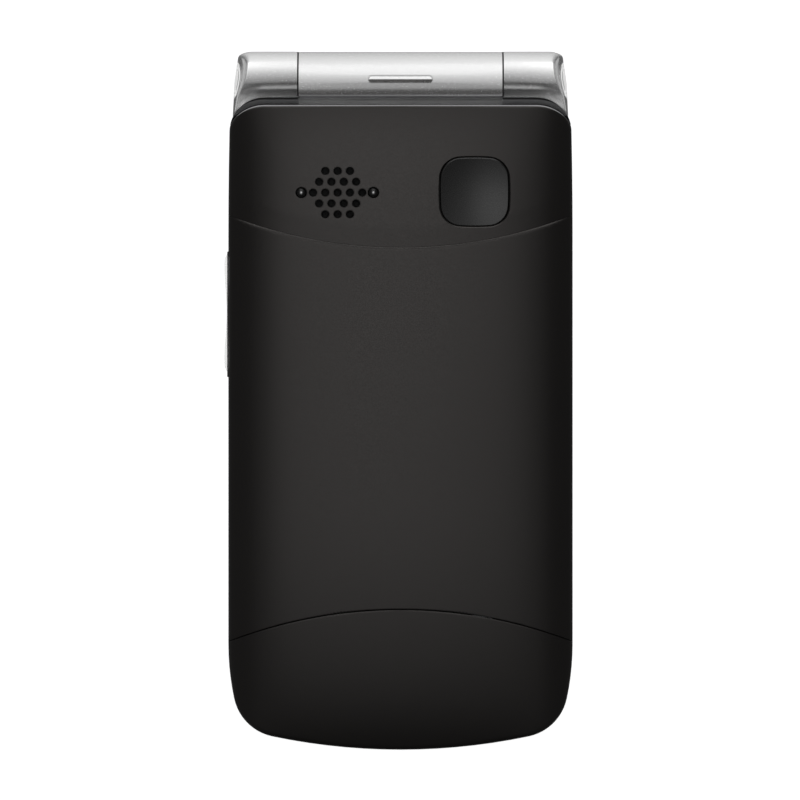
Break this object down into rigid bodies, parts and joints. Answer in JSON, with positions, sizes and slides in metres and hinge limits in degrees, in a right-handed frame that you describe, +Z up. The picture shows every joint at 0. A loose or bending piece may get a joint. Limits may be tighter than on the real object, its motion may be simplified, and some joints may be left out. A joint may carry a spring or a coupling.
{
  "type": "flip phone",
  "caption": "Closed clamshell phone with a crowned black back, silver hinge barrel, speaker grille, square emergency button, side rocker and a keypad and display inside.",
  "frame": {"origin": "middle of the lid's outer face, on the surface that the closed phone lies on", "axes": "+X across the phone to the right as its back is seen, +Y along it to the hinge, +Z up through the back"},
  "size_m": [0.0529, 0.1062, 0.0192],
  "materials": {
    "silver": "metallic silver paint, satin gloss",
    "back_black": "fine soft black, satin",
    "gloss_black": "gloss black",
    "frame_black": "matt black",
    "key_black": "satin dark grey",
    "key_green": "satin green",
    "key_red": "satin red",
    "chrome_trim": "polished",
    "lens": "tinted clear",
    "display": "dark display",
    "steel": "stamped steel",
    "spring_steel": "spring steel",
    "board": "solder mask",
    "battery_wrap": "wrapped aluminium can",
    "rubber_black": "soft rubber",
    "silicone": "translucent silicone",
    "polyimide": "amber flex film",
    "mesh_black": "woven gauze"
  },
  "bodies": {
    "lid": {"lid_frame": "silver", "hinge_knuckles": "silver", "hinge_washers": "frame_black", "lid_outer_panel": "gloss_black", "outer_window": "lens", "inner_bezel": "gloss_black", "main_lens": "lens", "displays": "display", "lid_pcb": "board", "earpiece": "frame_black", "lid_bumpers": "rubber_black", "lid_screws": "steel", "hinge_end_caps": "chrome_trim", "hinge_shaft": "steel", "hinge_bush": "steel"},
    "base": {"base_frame": "silver", "top_trim": "silver", "rear_housing": "frame_black", "rear_top_panel": "back_black", "antenna_cap": "back_black", "switches_and_contacts": "frame_black", "rocker_bezel": "gloss_black", "spine_bar": "silver", "grille_studs": "gloss_black", "loudspeaker": "frame_black", "speaker_mesh": "mesh_black", "main_pcb": "board", "shields_and_sim_sockets": "steel", "battery": "battery_wrap", "usb_socket": "steel", "microphone": "steel", "vibration_motor": "steel", "antenna": "frame_black", "keypad_mat": "silicone", "dome_foil": "polyimide", "base_screws": "steel", "hinge_can": "steel", "hinge_spring": "spring_steel", "flex_cable": "polyimide"},
    "battery_cover": {"battery_cover": "back_black"},
    "sos_button": {"sos_button": "back_black"},
    "volume_rocker": {"volume_rocker": "silver"},
    "key_nav": {"key_nav": "key_black"},
    "key_ok": {"key_ok": "key_black"},
    "key_1": {"key_1": "key_black"},
    "key_2": {"key_2": "key_black"},
    "key_3": {"key_3": "key_black"},
    "key_4": {"key_4": "key_black"},
    "key_5": {"key_5": "key_black"},
    "key_6": {"key_6": "key_black"},
    "key_7": {"key_7": "key_black"},
    "key_8": {"key_8": "key_black"},
    "key_9": {"key_9": "key_black"},
    "key_star": {"key_star": "key_black"},
    "key_0": {"key_0": "key_black"},
    "key_hash": {"key_hash": "key_black"},
    "key_call": {"key_call": "key_green"},
    "key_end": {"key_end": "key_red"},
    "key_soft_left": {"key_soft_left": "key_black"},
    "key_soft_right": {"key_soft_right": "key_black"}
  },
  "joints": [
    {"name": "lid_hinge", "type": "hinge", "parent": "lid", "child": "base", "pos_m": [0, 0.04875, 0.0096], "axis": [-1, 0, 0], "range_deg": [0, 160]},
    {"name": "cover_lift", "type": "slide", "parent": "base", "child": "battery_cover", "axis": [0, 0, 1], "range_m": [0, 0.012]},
    {"name": "sos_press", "type": "slide", "parent": "base", "child": "sos_button", "axis": [0, 0, -1], "range_m": [0, 0.0004], "stiffness_N_per_m": 300, "springref_m": -0.0005},
    {"name": "volume_rock", "type": "hinge", "parent": "base", "child": "volume_rocker", "pos_m": [-0.0252, 0.01335, 0.012], "axis": [0, 0, 1], "range_deg": [-1.5, 1.5], "stiffness_Nm_per_rad": 0.02},
    {"name": "nav_rock", "type": "hinge", "parent": "base", "child": "key_nav", "pos_m": [0, 0.0102, 0.0098], "axis": [1, 0, 0], "range_deg": [-1.4, 1.4], "stiffness_Nm_per_rad": 0.04},
    {"name": "press_1", "type": "slide", "parent": "base", "child": "key_1", "axis": [0, 0, 1], "range_m": [0, 0.00035], "stiffness_N_per_m": 300, "springref_m": -0.0005},
    {"name": "press_2", "type": "slide", "parent": "base", "child": "key_2", "axis": [0, 0, 1], "range_m": [0, 0.00035], "stiffness_N_per_m": 300, "springref_m": -0.0005},
    {"name": "press_3", "type": "slide", "parent": "base", "child": "key_3", "axis": [0, 0, 1], "range_m": [0, 0.00035], "stiffness_N_per_m": 300, "springref_m": -0.0005},
    {"name": "press_4", "type": "slide", "parent": "base", "child": "key_4", "axis": [0, 0, 1], "range_m": [0, 0.00035], "stiffness_N_per_m": 300, "springref_m": -0.0005},
    {"name": "press_5", "type": "slide", "parent": "base", "child": "key_5", "axis": [0, 0, 1], "range_m": [0, 0.00035], "stiffness_N_per_m": 300, "springref_m": -0.0005},
    {"name": "press_6", "type": "slide", "parent": "base", "child": "key_6", "axis": [0, 0, 1], "range_m": [0, 0.00035], "stiffness_N_per_m": 300, "springref_m": -0.0005},
    {"name": "press_7", "type": "slide", "parent": "base", "child": "key_7", "axis": [0, 0, 1], "range_m": [0, 0.00035], "stiffness_N_per_m": 300, "springref_m": -0.0005},
    {"name": "press_8", "type": "slide", "parent": "base", "child": "key_8", "axis": [0, 0, 1], "range_m": [0, 0.00035], "stiffness_N_per_m": 300, "springref_m": -0.0005},
    {"name": "press_9", "type": "slide", "parent": "base", "child": "key_9", "axis": [0, 0, 1], "range_m": [0, 0.00035], "stiffness_N_per_m": 300, "springref_m": -0.0005},
    {"name": "press_star", "type": "slide", "parent": "base", "child": "key_star", "axis": [0, 0, 1], "range_m": [0, 0.00035], "stiffness_N_per_m": 300, "springref_m": -0.0005},
    {"name": "press_0", "type": "slide", "parent": "base", "child": "key_0", "axis": [0, 0, 1], "range_m": [0, 0.00035], "stiffness_N_per_m": 300, "springref_m": -0.0005},
    {"name": "press_hash", "type": "slide", "parent": "base", "child": "key_hash", "axis": [0, 0, 1], "range_m": [0, 0.00035], "stiffness_N_per_m": 300, "springref_m": -0.0005},
    {"name": "press_call", "type": "slide", "parent": "base", "child": "key_call", "axis": [0, 0, 1], "range_m": [0, 0.00035], "stiffness_N_per_m": 300, "springref_m": -0.0005},
    {"name": "press_end", "type": "slide", "parent": "base", "child": "key_end", "axis": [0, 0, 1], "range_m": [0, 0.00035], "stiffness_N_per_m": 300, "springref_m": -0.0005},
    {"name": "press_soft_left", "type": "slide", "parent": "base", "child": "key_soft_left", "axis": [0, 0, 1], "range_m": [0, 0.00035], "stiffness_N_per_m": 300, "springref_m": -0.0005},
    {"name": "press_soft_right", "type": "slide", "parent": "base", "child": "key_soft_right", "axis": [0, 0, 1], "range_m": [0, 0.00035], "stiffness_N_per_m": 300, "springref_m": -0.0005},
    {"name": "press_ok", "type": "slide", "parent": "base", "child": "key_ok", "axis": [0, 0, 1], "range_m": [0, 0.00035], "stiffness_N_per_m": 300, "springref_m": -0.0005}
  ]
}
